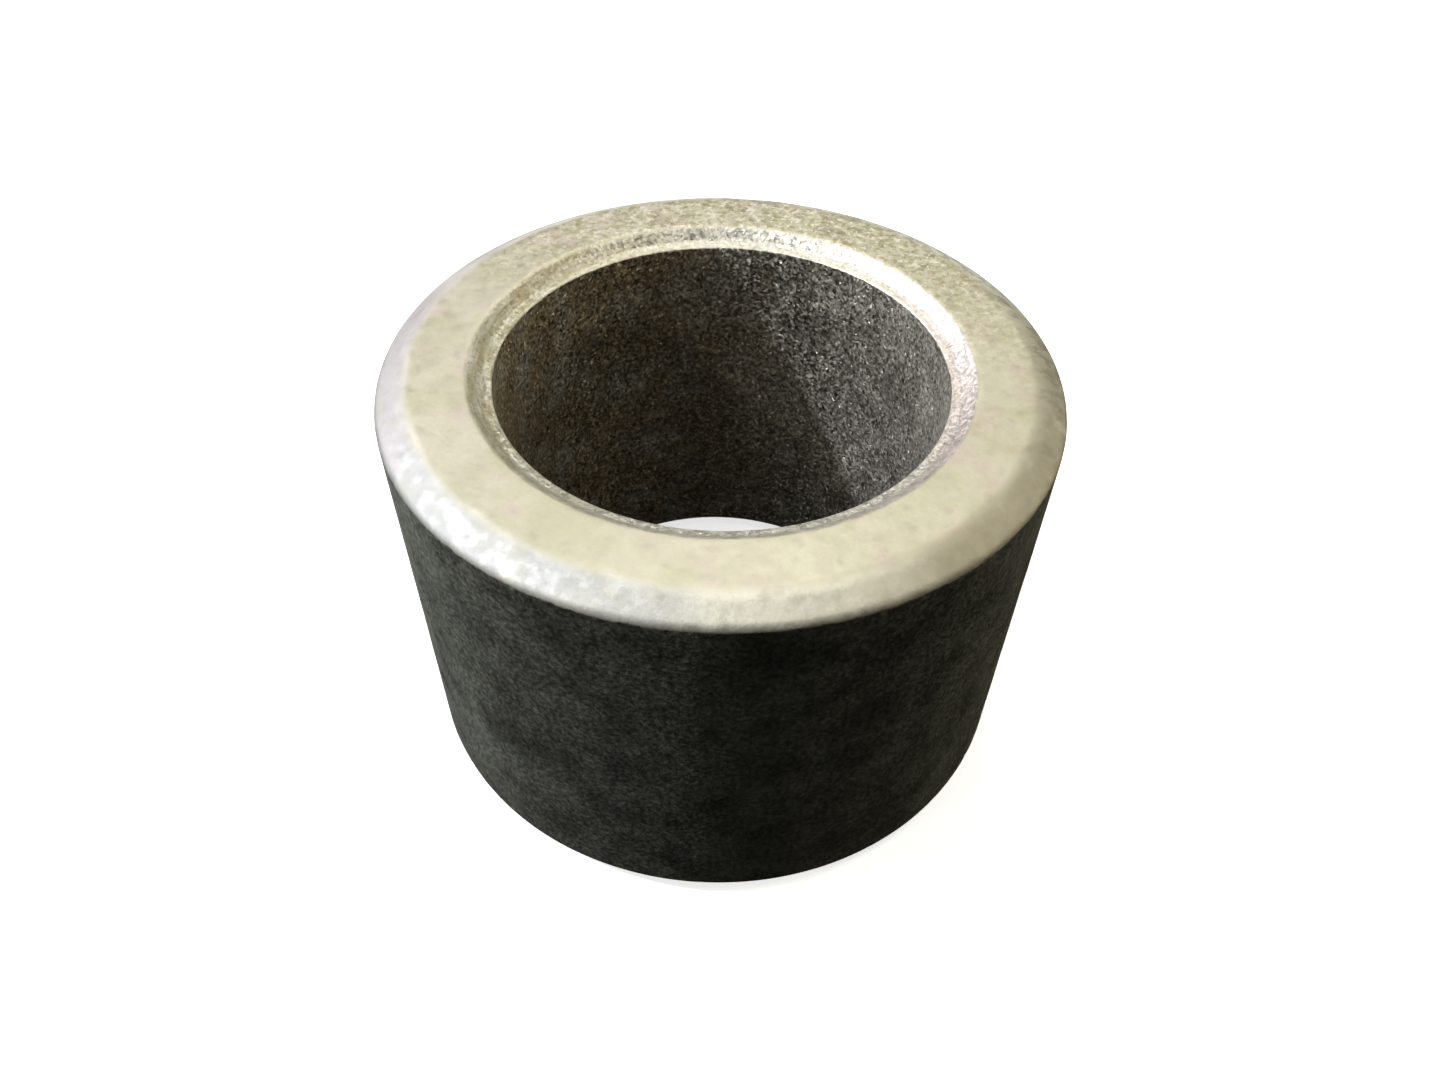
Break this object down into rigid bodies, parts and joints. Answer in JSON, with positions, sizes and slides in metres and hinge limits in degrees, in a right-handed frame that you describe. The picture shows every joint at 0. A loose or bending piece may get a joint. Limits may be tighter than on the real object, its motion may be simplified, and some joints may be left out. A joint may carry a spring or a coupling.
{
  "type": "sleeve bushing",
  "caption": "Plain sleeve bearing of oil-filled sintered bronze: pressed into a housing, it carries a turning shaft in its straight bore. Both ends are chamfered.",
  "frame": {"origin": "centre of the bottom end face, on the plane that the sleeve stands on", "axes": "+Z along the bore, from the bottom end face to the top one; the sleeve is round, so +X and +Y may point anywhere across it"},
  "size_m": [0.0192, 0.0192, 0.0127],
  "materials": {
    "sintered_bronze": "satin"
  },
  "bodies": {
    "root": {"sleeve": "sintered_bronze"}
  },
  "joints": []
}
